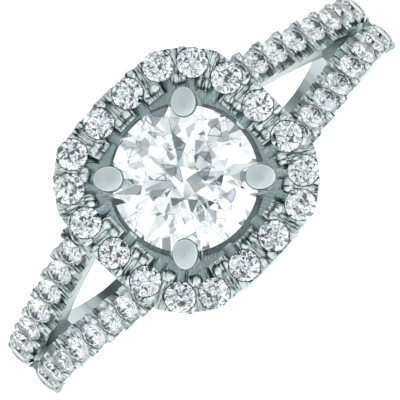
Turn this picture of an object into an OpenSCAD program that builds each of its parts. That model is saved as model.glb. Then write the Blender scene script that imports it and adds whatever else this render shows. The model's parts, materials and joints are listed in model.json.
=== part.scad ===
// Diamond engagement ring, laid on its side.
// Halo head with a round centre stone in four claws, on a shank that splits into two set arms each side.
// The bench frame used below has x along the shank, y along the finger and z out through the centre stone,
// with its origin in the middle of the finger hole. laid() turns it onto the table.

/* [Finger hole and shank] */
// Diameter of the finger hole
bore_d = 17.3; // [16.9:0.1:17.7]
// Metal between the finger hole and the outside of the shank
shank_t = 2.15; // [2.05:0.05:2.2]
// Width of the plain shank behind the finger
back_w = 1.7; // [1.6:0.1:2.2]
// Width of the shank beside the finger, where the two arms have joined
side_w = 2.92; // [2.8:0.02:3]

/* [Split arms] */
// Slope of the arms where they leave the head
arm_slope = 46; // [45:0.5:47]
// Distance from the middle to where the arms leave the head
arm_x = 5.2; // [5.1:0.1:5.3]
// Width over both arms where they leave the head
arm_spread = 5.3; // [5.1:0.1:5.4]
// Gap between the arms where they leave the head
arm_gap = 1.96; // [1.8:0.02:2.1]
// Distance from the middle to where the arms join
fork_x = 9.6; // [9.3:0.05:9.7]
// Diameter of a stone on the arms
arm_stone_d = 1.25; // [1.18:0.01:1.25]
// Stones along one arm
arm_stones = 9; // [4:1:9]
// Spacing of the stones along the arm
arm_pitch = 1.36; // [1.36:0.01:1.38]
// Distance of an arm's first stone from the middle, along the shank
arm_first_x = 4.93; // [4.9:0.01:5]
// Distance of the first stone's centre from the middle line
arm_row_near = 1.9; // [1.88:0.01:1.92]
// Distance of the last stone's centre from the middle line
arm_row_far = 0.82; // [0.8:0.01:0.85]

/* [Head] */
// Diameter of the centre stone
centre_d = 6.4; // [6.3:0.05:6.45]
// Height of the centre stone's girdle over the finger's middle
centre_z = 14; // [13.9:0.05:14.1]
// Height of the halo's top over the finger's middle
halo_z = 13.3; // [13.2:0.05:13.4]
// Thickness of the halo
halo_t = 1.25; // [1.1:0.05:1.3]
// Width of the halo along the shank
halo_w = 10.4; // [10.3:0.05:10.5]
// Width of the halo along the finger
halo_d = 10.35; // [10.25:0.05:10.45]
// Width of the halo across its rounded corners
halo_corner_w = 11.5; // [11.4:0.05:11.6]
// Width of the opening inside the halo
well_w = 6.94; // [6.9:0.02:7]
// Width of that opening across its corners
well_corner_w = 8.4; // [8.3:0.05:8.5]
// Diameter of a halo stone
halo_stone_d = 1.38; // [1.33:0.01:1.4]
// Thickness of a claw, across its lean
claw_d = 1.12; // [1.1:0.01:1.14]
// Distance of a claw's middle from the centre stone's axis
claw_r = 3.31; // [3.28:0.01:3.34]

/* [Fit] */
// Clearance between a stone and the metal that holds it
seat_gap = 0.03; // [0.02:0.01:0.05]

/* [Hidden] */
$fn = 48;

bore_r = bore_d / 2;
out_r = bore_r + shank_t;

// proportions of a round brilliant, as shares of its diameter
table_share = 0.57;
crown_angle = 34.5;
pavilion_angle = 40.8;
girdle_share = 0.03;
star_share = 0.5;
lower_share = 0.77;

// how the stones stand: each set stone has its girdle level with the metal round it, and the centre
// stone is turned so that none of its facets faces a claw squarely
girdle_sink = 0.02;
halo_girdle_z = halo_z - girdle_sink;
centre_turn = 11.25;

// the shoulders in side view: each runs straight down from the head at arm_slope, then round an arc
// until it is upright at the shank's side
shoulder_r = 7.4;
shoulder_z = 1.5;
shoulder_x = out_r - shoulder_r;
bend_x = shoulder_x + shoulder_r * sin(arm_slope);
bend_z = shoulder_z + shoulder_r * cos(arm_slope);
bend_way = (bend_x - arm_first_x) / cos(arm_slope);
shoulder_top_x = 3.7;
shoulder_top_z = bend_z + (bend_x - shoulder_top_x) * tan(arm_slope);

// the halo's outline is four shallow arcs cut off by a circle at the corners
halo_bow_x = 16;
halo_bow_y = 12;
well_bow = 14;

// halo stones of one quarter: distance along the shank, along the finger, way that the cell faces
halo_quarter = [
    [4.46, 0.00, 0],
    [4.38, 1.82, 6],
    [3.84, 3.38, 41],
    [2.68, 4.33, 74],
    [0.90, 4.43, 87]
];
halo_row = concat(
    [for (sx = [1, -1]) [sx * halo_quarter[0][0], 0, sx > 0 ? 0 : 180]],
    [for (q = [1 : 4]) for (sx = [1, -1]) for (sy = [1, -1]) let (c = halo_quarter[q])
        [sx * c[0], sy * c[1], atan2(sy * sin(c[2]), sx * cos(c[2]))]]);

// bars between neighbouring halo stones, worked out from the quarter's stones: place, way and
// half the angle between those two stones
halo_bars = concat(
    [for (q = [0 : 3]) for (sx = [1, -1]) for (sy = [1, -1])
        let (a = halo_quarter[q], b = halo_quarter[q + 1], t = (a[2] + b[2]) / 2)
        [sx * (a[0] + b[0]) / 2, sy * (a[1] + b[1]) / 2, atan2(sy * sin(t), sx * cos(t)), (b[2] - a[2]) / 2]],
    [for (sy = [1, -1]) [0, sy * halo_quarter[4][1], sy * 90, 90 - halo_quarter[4][2]]]);

// how far below the finger's middle the shank has narrowed to the width of its back
back_z = 6;

// under the head: how far the rails run straight and the gap between them
rail_x = 3.9;
rail_gap = 2.9;
gap_floor = 2.9;

// the gallery wall under the halo: its lower edge, its thickness and how far it runs up into the halo
gallery_z = 11.3;
gallery_t = 0.6;
gallery_lap = 0.5;

// the cone round the centre stone's pavilion: inner radius of its foot, its depth below the girdle,
// its wall, its rise, how far it opens and how far its rim runs into the halo past the well's corners
cup_r = 2.5;
cup_depth = 2.2;
cup_t = 0.5;
cup_h = 1.1;
cup_flare = 0.9;
cup_lap = 0.15;

// the claws: how much deeper than wide they are, distance and height of their feet in the rails,
// thicker part through the halo, height and roundness of their tips
claw_oval = 1.2;
claw_foot_r = 2.75;
claw_foot_z = 10.1;
claw_base_d = 1.42;
claw_base_from = 1.2;
claw_base_h = 2.15;
claw_top_z = centre_z + 0.85;
claw_dome_r = 1.4;
claw_l = norm([claw_r - claw_foot_r, claw_top_z - claw_foot_z]);
claw_flare = atan((claw_r - claw_foot_r) / (claw_top_z - claw_foot_z));

// seats: share of the stone's diameter that the hole below it has, hole depths and open height above
seat_hole_share = 0.28;
halo_hole = 1.65;
arm_hole = 0.9;
seat_open = 0.4;

// grains: radius, how deep their middles sit, and their places along and across a bar or beside a row
halo_grain_r = 0.3;
halo_grain_sink = 0.17;
halo_grain_x = [0.44, -0.62];
halo_grain_y = 0.27;
arm_grain_r = 0.22;
arm_grain_sink = 0.08;
arm_grain_y = 0.5;

// notches across the walls at each stone, how far an arm's reach outwards from its stone and how far
// from the middle line they stop, and the groove along each bar of the halo
notch_sink = 0.12;
halo_notch_w = 0.76;
halo_notch_l = 2.4;
arm_notch_w = 0.9;
arm_notch_l = 0.95;
arm_ridge = 0.12;
groove_r = 0.13;
groove_lift = 0.05;

// the seam between two arms that have met: half its width at the surface, its depth and the degrees
// round the bend by which it runs into the gap
seam_w = 0.2;
seam_depth = 0.4;
seam_lap = 6;

// how far a cutter runs past what it cuts
past = 1;

// rest on the table: the halo's lower edge and the edge of the shank's back both touch
rest_tilt = atan((halo_d / 2 - back_w / 2) / (halo_z - halo_t + out_r));
rest_z = back_w / 2 * cos(rest_tilt) + out_r * sin(rest_tilt);
stone_top = centre_z + centre_d * ((1 - table_share) / 2 * tan(crown_angle) + girdle_share / 2);
rest_y = (stone_top - out_r) / 2 * cos(rest_tilt) + back_w / 2 * sin(rest_tilt);

// the lying pose on the table
module laid() {
    translate([0, rest_y, rest_z]) rotate([90 - rest_tilt, 0, 0]) children();
}

// a tube or disc about the finger's axis
module about_finger(r, w) {
    rotate([90, 0, 0]) cylinder(r = r, h = w, center = true, $fn = 96);
}

// a place on the outside of a shoulder, from the way along it past the arm's first stone:
// distance along the shank, height and slope; sink is how deep it lies below the surface
function shoulder_slope(way) = arm_slope + max(0, way - bend_way) / shoulder_r * 180 / PI;
function shoulder_place(way, sink) =
    let (slope = shoulder_slope(way), r = shoulder_r - sink, up = max(0, bend_way - way))
    [shoulder_x + r * sin(slope) - up * cos(slope), shoulder_z + r * cos(slope) + up * sin(slope), slope];

// distance of an arm's row of stones from the middle line, at a distance along the shank
last_x = shoulder_place((arm_stones - 1) * arm_pitch, 0)[0];
function row_y(x) =
    arm_row_near + (arm_row_far - arm_row_near) * (x - arm_first_x) / (last_x - arm_first_x);

// turn of an arm's row against the shank's middle line, seen square to the metal
function row_turn(slope) = atan((row_y(0) - row_y(1)) * cos(slope));

// places a child on an arm: side along the shank, arm across it, way along it past its first stone
module on_arm(sx, sy, way, sink, off = 0) {
    place = shoulder_place(way, sink);
    translate([sx * place[0], sy * (row_y(place[0]) + off), place[1]])
        rotate([0, sx * place[2], 0])
            rotate([0, 0, -sx * sy * row_turn(place[2])])
                children();
}

// radius and height over the girdle of the star tips in a brilliant of radius r
function star_radius(r) = r * (table_share * cos(22.5) * (1 - star_share) + star_share);
function star_height(r) = (r - star_radius(r) * cos(22.5)) * tan(crown_angle);

// points of a round brilliant: table, star tips, girdle's top, girdle's foot, pavilion tips, culet
// n is the number of steps on the girdle for each of its 16 half facets
function brilliant_points(d, n) =
    let (r = d / 2, t = table_share * r, g = girdle_share * d,
         rk = star_radius(r),
         rl = r * (1 - lower_share),
         m = 16 * n,
         kz = star_height(r),
         lz = -(r - rl * cos(22.5)) * tan(pavilion_angle),
         // how far the round girdle stands outside the chord of its half facet
         bulge = function(i) (cos(22.5 * (i % n) / n - 11.25) - cos(11.25)) * r)
    concat(
        [for (i = [0 : 7]) [t * cos(45 * i), t * sin(45 * i), g / 2 + (r - t) * tan(crown_angle)]],
        [for (i = [0 : 7]) [rk * cos(45 * i + 22.5), rk * sin(45 * i + 22.5), g / 2 + kz]],
        [for (i = [0 : m - 1]) [r * cos(360 * i / m), r * sin(360 * i / m),
            g / 2 - bulge(i) * kz / ((r - rk) * cos(11.25))]],
        [for (i = [0 : m - 1]) [r * cos(360 * i / m), r * sin(360 * i / m),
            -g / 2 - bulge(i) * lz / ((r - rl) * cos(11.25))]],
        [for (i = [0 : 7]) [rl * cos(45 * i + 22.5), rl * sin(45 * i + 22.5), -g / 2 + lz]],
        [[0, 0, -g / 2 - r * tan(pavilion_angle)]]);

// its facets: table, stars, kites, upper halves, girdle, lower halves and pavilion mains
function brilliant_faces(n) =
    let (m = 16 * n, k = 8, a = 16, b = 16 + m, l = 16 + 2 * m, c = l + 8)
    concat(
        [[for (i = [7 : -1 : 0]) i]],
        [for (i = [0 : 7]) [i, (i + 1) % 8, k + i]],
        [for (i = [0 : 7]) [i, k + i, a + 2 * n * i, k + (i + 7) % 8]],
        [for (i = [0 : 15]) concat([k + floor(i / 2)], [for (j = [n : -1 : 0]) a + (i * n + j) % m])],
        [for (i = [0 : m - 1]) [a + i, a + (i + 1) % m, b + (i + 1) % m, b + i]],
        [for (i = [0 : 15]) concat([l + floor(i / 2)], [for (j = [0 : n]) b + (i * n + j) % m])],
        [for (i = [0 : 7]) [c, l + (i + 7) % 8, b + 2 * n * i, l + i]]);

// a round brilliant with its girdle's middle at the origin and its table up
module brilliant(d, n = 1) {
    polyhedron(points = brilliant_points(d, n), faces = brilliant_faces(n));
}

// room for a set stone: its pavilion and girdle with the seat's clearance, open above,
// and a hole into the metal below
module seat_room(d, depth) {
    r = d / 2 + seat_gap;
    g = girdle_share * d / 2 + seat_gap;
    hole_r = d * seat_hole_share;
    neck = -g - (r - hole_r) * tan(pavilion_angle);
    rotate_extrude($fn = 32)
        polygon([[0, -depth], [hole_r, -depth], [hole_r, neck], [r, -g], [r, seat_open], [0, seat_open]]);
}

// room for the centre stone
module centre_room() {
    r = centre_d / 2 + seat_gap;
    g = girdle_share * centre_d / 2 + seat_gap;
    rotate_extrude($fn = 64)
        polygon([[0, -g - r * tan(pavilion_angle)], [r, -g], [r, g],
                 [star_radius(r), g + star_height(r)], [0, g + r * tan(crown_angle)]]);
}

// outline of four shallow arcs with rounded corners
module cushion(w, d, bow_x, bow_y, corner_w) {
    intersection() {
        translate([w / 2 - bow_x, 0]) circle(r = bow_x, $fn = 96);
        translate([bow_x - w / 2, 0]) circle(r = bow_x, $fn = 96);
        translate([0, d / 2 - bow_y]) circle(r = bow_y, $fn = 96);
        translate([0, bow_y - d / 2]) circle(r = bow_y, $fn = 96);
        circle(d = corner_w, $fn = 96);
    }
}

// the opening inside the halo
module well() {
    cushion(well_w, well_w, well_bow, well_bow, well_corner_w);
}

// the shank seen along the finger: a ring with two shoulders that rise straight to the head
module shoulder_outline() {
    circle(r = out_r, $fn = 96);
    translate([-out_r, 0]) square([2 * out_r, shoulder_z]);
    for (s = [1, -1]) {
        translate([s * shoulder_x, shoulder_z]) circle(r = shoulder_r, $fn = 96);
        polygon([[s * shoulder_top_x, shoulder_z], [s * bend_x, shoulder_z], [s * bend_x, bend_z],
                 [s * shoulder_top_x, shoulder_top_z]]);
    }
}

// the shank seen along its length: it widens up the shoulders in the way that keeps their plan straight,
// and narrows behind the finger
module width_outline() {
    spread = (arm_spread - side_w) / 2 / (out_r - arm_x);
    bend_w = side_w / 2 + spread * (out_r - bend_x);
    top_w = side_w / 2 + spread * (out_r - shoulder_top_x);
    difference() {
        translate([-bend_w, 0]) square([2 * bend_w, bend_z]);
        for (s = [1, -1]) translate([s * (side_w / 2 + spread * shoulder_r), shoulder_z])
            scale([spread, 1]) circle(r = shoulder_r, $fn = 96);
        for (s = [0, 1]) mirror([s, 0]) translate([side_w / 2, 0]) square([bend_w, shoulder_z]);
    }
    polygon([[bend_w, bend_z], [top_w, shoulder_top_z], [-top_w, shoulder_top_z], [-bend_w, bend_z]]);
    polygon([[side_w / 2, 0], [back_w / 2, -back_z], [back_w / 2, -out_r],
             [-back_w / 2, -out_r], [-back_w / 2, -back_z], [-side_w / 2, 0]]);
}

// plan of the long gap between the rails and the arms
module gap_plan() {
    rail = [rail_x, rail_gap / 2];
    arm = [arm_x, arm_gap / 2];
    polygon([rail, arm, [fork_x, 0], [arm[0], -arm[1]], [rail[0], -rail[1]],
             -rail, -arm, [-fork_x, 0], [-arm[0], arm[1]], [-rail[0], rail[1]]]);
}

// the shank before its arms are cut for stones
module shank_blank() {
    difference() {
        intersection() {
            rotate([90, 0, 0]) linear_extrude(halo_d, center = true) shoulder_outline();
            rotate([90, 0, 90]) linear_extrude(2 * (out_r + past), center = true) width_outline();
        }
        translate([0, 0, gap_floor]) linear_extrude(out_r) gap_plan();
    }
}

// the halo's plate, the wall under it and the cone round the centre stone's pavilion
module head_blank() {
    difference() {
        translate([0, 0, halo_z - halo_t]) linear_extrude(halo_t)
            cushion(halo_w, halo_d, halo_bow_x, halo_bow_y, halo_corner_w);
        translate([0, 0, halo_z - halo_t - past]) linear_extrude(halo_t + 2 * past) well();
    }
    difference() {
        wall_w = well_w + 2 * gallery_t;
        translate([0, 0, gallery_z]) linear_extrude(halo_z - gallery_lap - gallery_z)
            cushion(wall_w, wall_w, well_bow, well_bow, well_corner_w + 2 * gallery_t);
        translate([0, 0, gallery_z - past]) linear_extrude(halo_z) well();
    }
    rim_r = well_corner_w / 2 + cup_lap;
    translate([0, 0, centre_z - cup_depth]) rotate_extrude($fn = 64)
        polygon([[cup_r, 0], [cup_r, cup_t], [cup_r + cup_flare, cup_h], [rim_r, cup_h],
                 [rim_r, cup_h - cup_t], [cup_r + cup_t, 0]]);
}

// a length of oval claw wire
module claw_wire(h) {
    linear_extrude(h) scale([claw_oval, 1]) circle(d = claw_d);
}

// the four claws, each a wire that leans outwards, thicker where it passes the halo, with a low dome
// at its tip
module claws() {
    wire = claw_l - claw_dome_r;
    for (i = [0 : 3]) rotate([0, 0, 45 + 90 * i]) translate([claw_foot_r, 0, claw_foot_z])
        rotate([0, claw_flare, 0]) {
            claw_wire(wire);
            translate([0, 0, claw_base_from]) cylinder(d = claw_base_d, h = claw_base_h);
            translate([0, 0, wire]) intersection() {
                claw_wire(claw_dome_r);
                sphere(r = claw_dome_r);
            }
        }
}

// the grains that hold the halo's stones: a pair at each end of each bar
module halo_grains() {
    for (b = halo_bars) translate([b[0], b[1], halo_z]) rotate([0, 0, b[2]])
        for (x = halo_grain_x) for (sy = [1, -1])
            translate([x, sy * (halo_grain_y + x * sin(b[3])), -halo_grain_sink])
                sphere(r = halo_grain_r, $fn = 24);
}

// the grains on the arms, one between neighbouring stones at each edge
module arm_grains() {
    for (sx = [1, -1]) for (sy = [1, -1]) for (i = [0 : arm_stones])
        for (side = [1, -1])
            on_arm(sx, sy, (i - 0.5) * arm_pitch, arm_grain_sink, side * arm_grain_y)
                sphere(r = arm_grain_r, $fn = 24);
}

// what is cut across the halo before its claws and grains: a notch through both walls at each stone
// and a groove along each bar
module halo_notches() {
    for (c = halo_row) translate([c[0], c[1], halo_girdle_z - notch_sink]) rotate([0, 90, c[2]])
        cylinder(d = halo_notch_w, h = halo_notch_l, center = true);
    for (b = halo_bars) translate([b[0], b[1], halo_z + groove_lift]) rotate([0, 90, b[2]])
        cylinder(r = groove_r, h = halo_notch_l, center = true, $fn = 24);
}

// the seats of the halo's stones
module halo_seats() {
    for (c = halo_row) translate([c[0], c[1], halo_girdle_z]) rotate([0, 0, c[2]])
        seat_room(halo_stone_d, halo_hole);
}

// what is cut along the middle line, from where the arms meet to their last stones
module seams() {
    far = shoulder_slope((arm_stones - 0.5) * arm_pitch);
    near = arm_slope - seam_lap;
    for (side = [0, 1]) mirror([side, 0, 0]) translate([shoulder_x, 0, shoulder_z])
        rotate([90, 0, 0]) rotate([0, 0, 90 - far]) rotate_extrude(angle = far - near, $fn = 96)
            polygon([[shoulder_r - seam_depth, 0], [shoulder_r + seam_depth, -2 * seam_w],
                     [shoulder_r + seam_depth, 2 * seam_w]]);
}

// what is cut for the stones of the arms: a seat and a notch through both edges for each
module arm_cuts() {
    for (sx = [1, -1]) for (sy = [1, -1]) for (i = [0 : arm_stones - 1]) {
        way = i * arm_pitch;
        inner = row_y(shoulder_place(way, girdle_sink)[0]) - arm_ridge;
        on_arm(sx, sy, way, girdle_sink) {
            seat_room(arm_stone_d, arm_hole);
            translate([0, sy > 0 ? arm_notch_l : inner, -notch_sink]) rotate([90, 0, 0])
                cylinder(d = arm_notch_w, h = arm_notch_l + inner);
        }
    }
}

// all the metal, soldered into one piece
module ring_mount() {
    color("silver") laid() {
        difference() {
            union() {
                shank_blank();
                arm_grains();
            }
            about_finger(bore_r, halo_d + past);
            translate([0, 0, centre_z]) centre_room();
            seams();
            arm_cuts();
        }
        difference() {
            union() {
                difference() {
                    head_blank();
                    halo_notches();
                }
                claws();
                halo_grains();
            }
            about_finger(bore_r, halo_d + past);
            translate([0, 0, centre_z]) centre_room();
            halo_seats();
        }
    }
}

// the stone in the four claws
module centre_stone() {
    color("white") laid() translate([0, 0, centre_z]) rotate([0, 0, centre_turn]) brilliant(centre_d, 4);
}

// one stone of the halo, by its place in the row
module halo_stone(i) {
    c = halo_row[i];
    color("white") laid() translate([c[0], c[1], halo_girdle_z]) rotate([0, 0, c[2]]) brilliant(halo_stone_d);
}

// the stones of both arms on one side of the head
module shoulder_stones(sx) {
    color("white") laid() for (sy = [1, -1]) for (i = [0 : arm_stones - 1])
        on_arm(sx, sy, i * arm_pitch, girdle_sink) brilliant(arm_stone_d);
}

ring_mount();
centre_stone();
for (i = [0 : 17]) halo_stone(i);
shoulder_stones(-1);  // shoulder_stones_left
shoulder_stones(1);  // shoulder_stones_right
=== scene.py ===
# A diamond engagement ring, lying on its side on a lit white table in a light tent.
import json
import math

import bpy
from mathutils import Matrix, Vector

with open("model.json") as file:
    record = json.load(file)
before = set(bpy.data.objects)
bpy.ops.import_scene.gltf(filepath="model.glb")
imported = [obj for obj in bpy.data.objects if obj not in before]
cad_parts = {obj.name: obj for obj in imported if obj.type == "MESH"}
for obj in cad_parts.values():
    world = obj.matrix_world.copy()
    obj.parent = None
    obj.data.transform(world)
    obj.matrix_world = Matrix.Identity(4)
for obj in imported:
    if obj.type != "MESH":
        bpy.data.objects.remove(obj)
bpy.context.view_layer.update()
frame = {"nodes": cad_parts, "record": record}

bpy.ops.object.select_all(action="DESELECT")

# The mount
# Shank, split arms, gallery, halo and claws are one casting in 18 carat white gold, soldered,
# polished and plated with rhodium. The stones' seats are cut into it and the grains raised from it.
MM = 0.001

# the bench frame, from the finger hole: x along the shank, y along the finger, z out to the stone
finger_hole = next(mount for mount in frame["record"]["mounts"] if mount["name"] == "finger_hole")
finger_way = Vector(finger_hole["axis"]).normalized()
shank_way = Vector((1, 0, 0))
stone_way = shank_way.cross(finger_way)
bench = Matrix((shank_way, finger_way, stone_way)).transposed().to_4x4()
bench.translation = Vector(finger_hole["pos_m"])


def linear(hex_colour):
    """The linear colour of an sRGB hex value."""
    channels = [int(hex_colour[i:i + 2], 16) / 255 for i in (1, 3, 5)]
    return [c / 12.92 if c < 0.04045 else ((c + 0.055) / 1.055) ** 2.4 for c in channels] + [1]


def add(tree, kind, inputs=(), stops=(), **settings):
    """Adds a node. Its inputs come by name or in their order, and each is a value, an output, or a
    node whose first output it takes. Stops are the places and hex colours of a colour ramp."""
    made = tree.nodes.new(kind)
    for name, value in settings.items():
        setattr(made, name, value)
    if isinstance(inputs, dict):
        given = [(made.inputs[name], value) for name, value in inputs.items()]
    else:
        given = zip([socket for socket in made.inputs if socket.enabled], inputs)
    for socket, value in given:
        if isinstance(value, bpy.types.Node):
            value = next(output for output in value.outputs if output.enabled)
        if isinstance(value, bpy.types.NodeSocket):
            tree.links.new(value, socket)
        else:
            socket.default_value = value
    for _ in stops[2:]:
        made.color_ramp.elements.new(0.5)
    for number, (position, hex_colour) in enumerate(stops):
        made.color_ramp.elements[number].position = position
        made.color_ramp.elements[number].color = linear(hex_colour)
    return made


def rhodium_white_gold():
    """Rhodium plated over polished white gold: a cool pale metal. On the set part its colour is
    painted darker and faintly green in recesses and near the table, which is painted shade. The mop
    leaves the shank a soft mirror. The graver's cuts across the set faces are bumped in, and their
    dark colour is painted shade in the grooves. The well round the centre stone is only brushed and
    has a flat mid grey; the cone inside it has a light grey, painted light over the shade under the
    girdle. The claws' tips are rubbed rougher than the rest, and their grey has a painted highlight
    ring and a painted dark rim."""
    shank_plain_z_mm, shank_set_z_mm = 3.0, 6.0
    cut_mm, cut_stretch, cut_depth_mm = 0.11, 0.2, 0.05
    halo_foot_z_mm, halo_r_mm = 12.0, 4.6
    well_r_mm, well_half_r_mm = 3.45, 1.05
    well_z_mm, well_half_z_mm = 12.21, 1.01
    cone_r_mm = 3.37
    tip_z_mm, tip_r_mm = 13.95, 3.31
    tip_half_length_mm, tip_half_width_mm = 0.672, 0.56
    recess_mm = 0.45
    wave_mm = 1.6
    edge_mm = 0.02
    mirror_roughness, satin_roughness = 0.1, 0.45
    material = bpy.data.materials.new("rhodium_white_gold")
    material.use_nodes = True
    tree = material.node_tree
    tree.nodes.clear()

    # the place on the bench, its distance from the centre stone's axis and its way round that axis
    place = add(tree, "ShaderNodeTexCoord").outputs
    on_bench = add(tree, "ShaderNodeMapping", {
        "Vector": place["Object"], "Location": bench.translation, "Rotation": bench.to_euler()},
        vector_type="TEXTURE")
    at = add(tree, "ShaderNodeSeparateXYZ", [on_bench]).outputs
    plan = add(tree, "ShaderNodeCombineXYZ", [at["X"], at["Y"]])
    from_axis = add(tree, "ShaderNodeVectorMath", [plan], operation="LENGTH")
    turn = add(tree, "ShaderNodeMath", [at["Y"], at["X"]], operation="ARCTAN2")
    round_way = add(tree, "ShaderNodeMath", [turn, halo_r_mm * MM], operation="MULTIPLY")

    # the well's wall round the centre stone, below the halo's top, and the cone inside it
    well_plan = add(tree, "ShaderNodeMath", [from_axis, well_r_mm * MM, well_half_r_mm * MM],
                    operation="COMPARE")
    well_height = add(tree, "ShaderNodeMath", [at["Z"], well_z_mm * MM, well_half_z_mm * MM],
                      operation="COMPARE")
    well = add(tree, "ShaderNodeMath", [well_plan, well_height], operation="MULTIPLY")
    cone_plan = add(tree, "ShaderNodeMath", [from_axis, cone_r_mm * MM], operation="LESS_THAN")
    cone = add(tree, "ShaderNodeMath", [well, cone_plan], operation="MULTIPLY")

    # the claws' oval tips on the two diagonals: 0 in the middle of a tip, 1 at its rim
    tip = add(tree, "ShaderNodeMath", [at["Z"], tip_z_mm * MM], operation="GREATER_THAN")
    quarter = add(tree, "ShaderNodeVectorMath", [plan], operation="ABSOLUTE")
    beside_tip = add(tree, "ShaderNodeVectorMath", [
        quarter, (math.sqrt(0.5), -math.sqrt(0.5), 0)], operation="DOT_PRODUCT")
    past_tip = add(tree, "ShaderNodeMath", [from_axis, tip_r_mm * MM], operation="SUBTRACT")
    off_tip = add(tree, "ShaderNodeCombineXYZ", [past_tip, beside_tip])
    off_tip = add(tree, "ShaderNodeVectorMath", [
        off_tip, (tip_half_length_mm * MM, tip_half_width_mm * MM, 1)], operation="DIVIDE")
    to_rim = add(tree, "ShaderNodeVectorMath", [off_tip], operation="LENGTH")

    # the graver's cuts: they run outwards on the halo and across the arms, on the faces that look
    # out from the finger, and fade out down the shank
    on_halo = add(tree, "ShaderNodeMath", [at["Z"], halo_foot_z_mm * MM], operation="GREATER_THAN")
    along = add(tree, "ShaderNodeMix", [on_halo, at["X"], round_way])
    across = add(tree, "ShaderNodeMix", [on_halo, at["Y"], from_axis])
    strip = add(tree, "ShaderNodeCombineXYZ", [along, across, at["Z"]])
    strip = add(tree, "ShaderNodeVectorMath", [strip, (1, cut_stretch, cut_stretch)], operation="MULTIPLY")
    cuts = add(tree, "ShaderNodeTexNoise", {
        "Vector": strip, "Scale": 1 / (cut_mm * MM), "Detail": 2.0, "Roughness": 0.6})
    set_part = add(tree, "ShaderNodeMapRange", {
        "Value": at["Z"], "From Min": shank_plain_z_mm * MM, "From Max": shank_set_z_mm * MM})
    outward = add(tree, "ShaderNodeCombineXYZ", {"X": at["X"], "Z": at["Z"]})
    outward = add(tree, "ShaderNodeVectorMath", [outward], operation="NORMALIZE")
    normal = add(tree, "ShaderNodeMapping", {
        "Vector": place["Normal"], "Rotation": bench.to_euler()}, vector_type="TEXTURE")
    facing = add(tree, "ShaderNodeVectorMath", [normal, outward], operation="DOT_PRODUCT")
    set_face = add(tree, "ShaderNodeMapRange", {"Value": facing, "From Min": 0.05, "From Max": 0.3})
    engraved = add(tree, "ShaderNodeMath", [set_part, set_face], operation="MULTIPLY")
    not_tip = add(tree, "ShaderNodeMath", [1.0, tip], operation="SUBTRACT")
    engraved = add(tree, "ShaderNodeMath", [engraved, not_tip], operation="MULTIPLY")

    # painted shade: this occlusion paints the set part's colour darker and faintly green in recesses and next
    # to the table, and a light grey where the metal is open
    recess = add(tree, "ShaderNodeAmbientOcclusion", {"Distance": recess_mm * MM},
                 samples=8, only_local=True).outputs["AO"]
    painted_recess_shade = add(tree, "ShaderNodeValToRGB", [recess], [
        (0.0, "#1f2b2b"), (0.5, "#7c8b8a"), (0.85, "#ced6d6")])
    # painted shade: the cuts are bumped in below, and this dark colour in them is painted shade in the
    # grooves
    cut_painted_shade = add(tree, "ShaderNodeValToRGB", [cuts], [(0.36, "#435252"), (0.5, "#ffffff")])
    # the claws' tips: an even grey with a painted highlight ring near the rim and a painted dark rim
    satin_and_painted_rim = add(tree, "ShaderNodeValToRGB", [to_rim], [
        (0.0, "#b0baba"), (0.82, "#b8c1c1"), (0.92, "#ced5d5"), (0.98, "#5d6c6f")])
    colour = add(tree, "ShaderNodeMix", [set_part, linear("#a3adae"), painted_recess_shade], data_type="RGBA")
    colour = add(tree, "ShaderNodeMix", [engraved, colour, cut_painted_shade], data_type="RGBA", blend_type="MULTIPLY")
    # the well has a flat mid grey; the cone's light grey is painted light over the shade under the girdle;
    # the tips take their grey with its painted highlight ring and dark rim
    for mask, tone_and_painted_light in ((well, linear("#95a4a5")), (cone, linear("#ccd6d7")), (tip, satin_and_painted_rim)):
        colour = add(tree, "ShaderNodeMix", [mask, colour, tone_and_painted_light], data_type="RGBA")

    waves = add(tree, "ShaderNodeTexNoise", {
        "Vector": place["Object"], "Scale": 1 / (wave_mm * MM), "Detail": 2.0})
    polish = add(tree, "ShaderNodeMapRange", {
        "Value": waves, "From Min": 0.3, "From Max": 0.7, "To Min": 0.2, "To Max": 0.3})
    polish = add(tree, "ShaderNodeMix", [set_part, mirror_roughness, polish])
    polish = add(tree, "ShaderNodeMix", [tip, polish, satin_roughness])
    edge = add(tree, "ShaderNodeBevel", {"Radius": edge_mm * MM}, samples=4)
    depth = add(tree, "ShaderNodeMath", [cuts, engraved], operation="MULTIPLY")
    bump = add(tree, "ShaderNodeBump", {
        "Height": depth, "Strength": 0.8, "Distance": cut_depth_mm * MM, "Normal": edge})
    shader = add(tree, "ShaderNodeBsdfPrincipled", {
        "Base Color": colour, "Roughness": polish, "Normal": bump, "Metallic": 1.0})
    add(tree, "ShaderNodeOutputMaterial", {"Surface": shader})
    return material


def dress(piece, material):
    """Gives a piece one material all over."""
    piece.data.materials.clear()
    piece.data.materials.append(material)


dress(frame["nodes"]["ring_mount"], rhodium_white_gold())


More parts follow.
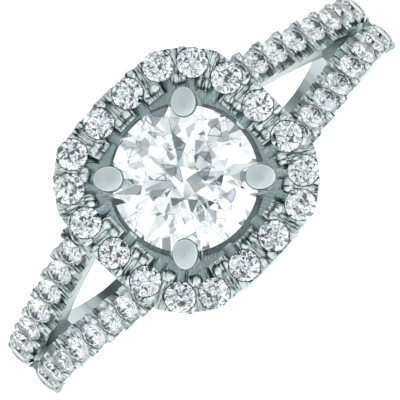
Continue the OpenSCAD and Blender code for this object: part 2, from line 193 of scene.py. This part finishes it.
# The centre stone
# A round brilliant of colourless diamond, about one carat, cut and polished flat. It sits in the
# cone and four claws hold it at its girdle.
def shards(tree, place, size_mm, tones):
    """Paints a stone's light and shade: it cuts along five ways and gives each straight-sided piece
    between the cuts a painted tone of its own, with a rim that is darker where the piece is nearly
    dark."""
    cut_degrees = (4, 40, 76, 112, 148)
    cut_shift = 0.37
    row_length = 17.0
    rim_from, rim_to, rim_dark = 0.045, 0.063, 0.35
    rows = []
    to_edge = 0.5
    for number, degrees in enumerate(cut_degrees):
        angle = math.radians(degrees)
        way = bench.to_3x3() @ Vector((math.cos(angle), math.sin(angle), 0))
        run = add(tree, "ShaderNodeVectorMath", [place, tuple(way)], operation="DOT_PRODUCT")
        step = add(tree, "ShaderNodeMath", [run, 1 / (size_mm * MM), number * cut_shift],
                   operation="MULTIPLY_ADD")
        rows.append(add(tree, "ShaderNodeMath", [step], operation="FLOOR"))
        edge = add(tree, "ShaderNodeMath", [step, 0.5], operation="PINGPONG")
        to_edge = add(tree, "ShaderNodeMath", [edge, to_edge], operation="MINIMUM")
    piece = add(tree, "ShaderNodeCombineXYZ", rows[:3])
    row = add(tree, "ShaderNodeMath", [rows[3], row_length, rows[4]], operation="MULTIPLY_ADD")
    chance = add(tree, "ShaderNodeTexWhiteNoise", {"Vector": piece, "W": row}, noise_dimensions="4D")
    rim = add(tree, "ShaderNodeMapRange", {
        "Value": to_edge, "From Min": rim_from, "From Max": rim_to, "To Min": rim_dark, "To Max": 1.0})
    rimmed = add(tree, "ShaderNodeMath", [chance, rim], operation="MULTIPLY")
    cut = add(tree, "ShaderNodeValToRGB", [rimmed], tones)
    cut.color_ramp.interpolation = "CONSTANT"
    return cut


def polished_diamond(name, wide_mm, fine_mm, fine_painted_light_tones, broken_mm, broken_tilt, roughness):
    """Diamond polished on a scaife: clear, with a very high index, so that it throws back most of the
    light. The shards into which real facets cut that light are drawn on the crown, wide pale ones
    and fine dark ones, and the pavilion's normals are broken a little to split them once more."""
    diamond_ior = 2.417
    crown_from = 0.05
    wide_painted_light_tones = [(0.0, "#d2d7dc"), (0.12, "#e5e9ec"), (0.34, "#f3f5f6"), (0.62, "#ffffff")]
    material = bpy.data.materials.new(name)
    material.use_nodes = True
    tree = material.node_tree
    tree.nodes.clear()
    place = add(tree, "ShaderNodeTexCoord").outputs
    wide = shards(tree, place["Object"], wide_mm, wide_painted_light_tones)
    fine = shards(tree, place["Object"], fine_mm, fine_painted_light_tones)
    # the crown's colour is painted light and shade: wide pale shards as painted reflections and fine dark
    # ones as painted shade
    crown = add(tree, "ShaderNodeMix", [1.0, wide, fine], data_type="RGBA", blend_type="MULTIPLY")
    upward = add(tree, "ShaderNodeVectorMath", [place["Normal"], tuple(stone_way)], operation="DOT_PRODUCT")
    pavilion = add(tree, "ShaderNodeMath", [upward, crown_from], operation="LESS_THAN")
    painted_light_and_body = add(tree, "ShaderNodeMix", [pavilion, crown, linear("#f6fafc")], data_type="RGBA")
    cells = add(tree, "ShaderNodeTexVoronoi", {"Vector": place["Object"], "Scale": 1 / (broken_mm * MM)})
    lean = add(tree, "ShaderNodeVectorMath", [
        cells.outputs["Color"], (broken_tilt,) * 3, (-broken_tilt / 2,) * 3], operation="MULTIPLY_ADD")
    normal = add(tree, "ShaderNodeNewGeometry").outputs["Normal"]
    broken = add(tree, "ShaderNodeVectorMath", [normal, lean], operation="ADD")
    broken = add(tree, "ShaderNodeVectorMath", [broken], operation="NORMALIZE")
    facet = add(tree, "ShaderNodeMix", [pavilion, normal, broken], data_type="VECTOR")
    shader = add(tree, "ShaderNodeBsdfPrincipled", {
        "Base Color": painted_light_and_body, "Normal": facet, "Roughness": roughness, "IOR": diamond_ior,
        "Transmission Weight": 1.0})
    add(tree, "ShaderNodeOutputMaterial", {"Surface": shader})
    return material


dress(frame["nodes"]["centre_stone"], polished_diamond(
    "polished_diamond_centre", wide_mm=1.3, fine_mm=0.7,
    fine_painted_light_tones=[(0.0, "#18232a"), (0.035, "#76818c"), (0.085, "#ffffff")],
    broken_mm=1.0, broken_tilt=0.05, roughness=0.0))

# The halo's stones
# Eighteen small round brilliants of the same diamond. Each is pressed into a drilled seat, and a
# grain of metal holds it at each corner. Their shards of light are painted finer and darker than the
# centre stone's, with near black painted shade among them.
halo_diamond = polished_diamond(
    "polished_diamond_halo", wide_mm=0.5, fine_mm=0.24,
    fine_painted_light_tones=[(0.0, "#020304"), (0.085, "#3c444c"), (0.13, "#b4bac0"), (0.18, "#ffffff")],
    broken_mm=0.4, broken_tilt=0.2, roughness=0.0)
for name, stone in frame["nodes"].items():
    if name.startswith("halo_stone"):
        dress(stone, halo_diamond)

# The stones of the arms
# Eighteen on each side of the head, set in the same way between grains. A trace of roughness and
# paler painted shards of light draw them paler and softer than the halo's, as they look in front of
# a lens that isn't focused on them.
arm_diamond = polished_diamond(
    "polished_diamond_arms", wide_mm=1.2, fine_mm=0.8,
    fine_painted_light_tones=[(0.0, "#5f6971"), (0.03, "#b0b7bc"), (0.08, "#ffffff")],
    broken_mm=1.1, broken_tilt=0.05, roughness=0.07)
for side in ("left", "right"):
    dress(frame["nodes"]["shoulder_stones_" + side], arm_diamond)


# The table
# A sheet of white acrylic, larger than any view reaches and lit from below, so that it keeps
# nearly no shadow.
def lit_acrylic():
    """Sanded white acrylic: matt, with a faint grain and light coming up through it."""
    grain_mm = 0.6
    material = bpy.data.materials.new("lit_acrylic")
    material.use_nodes = True
    tree = material.node_tree
    tree.nodes.clear()
    place = add(tree, "ShaderNodeTexCoord").outputs["Object"]
    grain = add(tree, "ShaderNodeTexNoise", {"Vector": place, "Scale": 1 / (grain_mm * MM), "Detail": 3.0})
    sheet = add(tree, "ShaderNodeValToRGB", [grain], [(0.3, "#f6f7f7"), (0.7, "#fbfbfb")])
    shader = add(tree, "ShaderNodeBsdfPrincipled", {
        "Base Color": sheet, "Emission Color": sheet, "Emission Strength": 0.65, "Roughness": 0.7,
        "Specular IOR Level": 0.2})
    add(tree, "ShaderNodeOutputMaterial", {"Surface": shader})
    return material


table_side_m = 3.0
bpy.ops.mesh.primitive_plane_add(size=table_side_m, location=(0, 0, 0))
table = bpy.context.active_object
table.name = "table"
dress(table, lit_acrylic())

# The light
# A tent of white cloth panels with dark seams: bright all round, a little darker where the camera
# stands and at the sides. The stones show its panels and seams many times over.
front_way = (0, -1, 0)
panel_scale = 4.0
tent_strength = 1.6
world = bpy.data.worlds.new("light_tent")
bpy.context.scene.world = world
world.use_nodes = True
tent = world.node_tree
tent.nodes.clear()
way = add(tent, "ShaderNodeTexCoord").outputs["Generated"]
facing = add(tent, "ShaderNodeVectorMath", [way, front_way], operation="DOT_PRODUCT")
frontness = add(tent, "ShaderNodeMapRange", {"Value": facing, "From Min": -1.0, "From Max": 1.0})
lit = add(tent, "ShaderNodeValToRGB", [frontness], [
    (0.0, "#ffffff"), (0.35, "#e0e1e1"), (0.52, "#a0a4a4"), (0.66, "#f3f4f4"), (0.93, "#ffffff"),
    (0.985, "#bcc1c1")])
panels = add(tent, "ShaderNodeTexVoronoi", {"Vector": way, "Scale": panel_scale})
pick = add(tent, "ShaderNodeSeparateColor", [panels.outputs["Color"]]).outputs["Red"]
cloth = add(tent, "ShaderNodeValToRGB", [pick], [
    (0.0, "#8d9498"), (0.06, "#c3c8cb"), (0.14, "#eaeced"), (0.32, "#fcfdfd")])
cloth.color_ramp.interpolation = "CONSTANT"
border = add(tent, "ShaderNodeTexVoronoi", {"Vector": way, "Scale": panel_scale}, feature="DISTANCE_TO_EDGE")
seam = add(tent, "ShaderNodeValToRGB", [border], [(0.02, "#959597"), (0.03, "#ffffff")])
for dimmer in (cloth, seam):
    lit = add(tent, "ShaderNodeMix", [1.0, lit, dimmer], data_type="RGBA", blend_type="MULTIPLY")
background = add(tent, "ShaderNodeBackground", {"Color": lit, "Strength": tent_strength})
add(tent, "ShaderNodeOutputWorld", {"Surface": background})

# The camera
# It looks at the head nearly along the centre stone's axis, leaning a little towards the table, and
# is rolled so that the shank runs from lower left to upper right.
photo_side_px = 400
px_per_mm = 23.1
girdle_z_mm = 14.0
girdle_px = (185.1, 178.7)
camera_away_mm = 380.0
camera_lean = math.radians(4.74)
camera_roll = math.radians(45.8)
sensor_mm = 36.0
clip_near_m, clip_far_m = 0.01, 20.0

back_way = bench.to_3x3() @ Vector((0, -math.sin(camera_lean), math.cos(camera_lean)))
table_way = bench.to_3x3() @ Vector((0, -math.cos(camera_lean), -math.sin(camera_lean)))
right_way = math.cos(camera_roll) * shank_way + math.sin(camera_roll) * table_way
up_way = math.sin(camera_roll) * shank_way - math.cos(camera_roll) * table_way
middle = bench @ Vector((0, 0, girdle_z_mm * MM))
middle += right_way * (photo_side_px / 2 - girdle_px[0]) / px_per_mm * MM
middle -= up_way * (photo_side_px / 2 - girdle_px[1]) / px_per_mm * MM

camera_data = bpy.data.cameras.new("camera")
camera = bpy.data.objects.new("camera", camera_data)
bpy.context.collection.objects.link(camera)
camera_data.sensor_width = sensor_mm
camera_data.lens = sensor_mm * camera_away_mm / (photo_side_px / px_per_mm)
camera_data.clip_start = clip_near_m
camera_data.clip_end = clip_far_m
camera.matrix_world = Matrix((right_way, up_way, back_way)).transposed().to_4x4()
camera.location = middle + back_way * camera_away_mm * MM
bpy.context.scene.camera = camera
bpy.context.scene.view_settings.view_transform = "Standard"
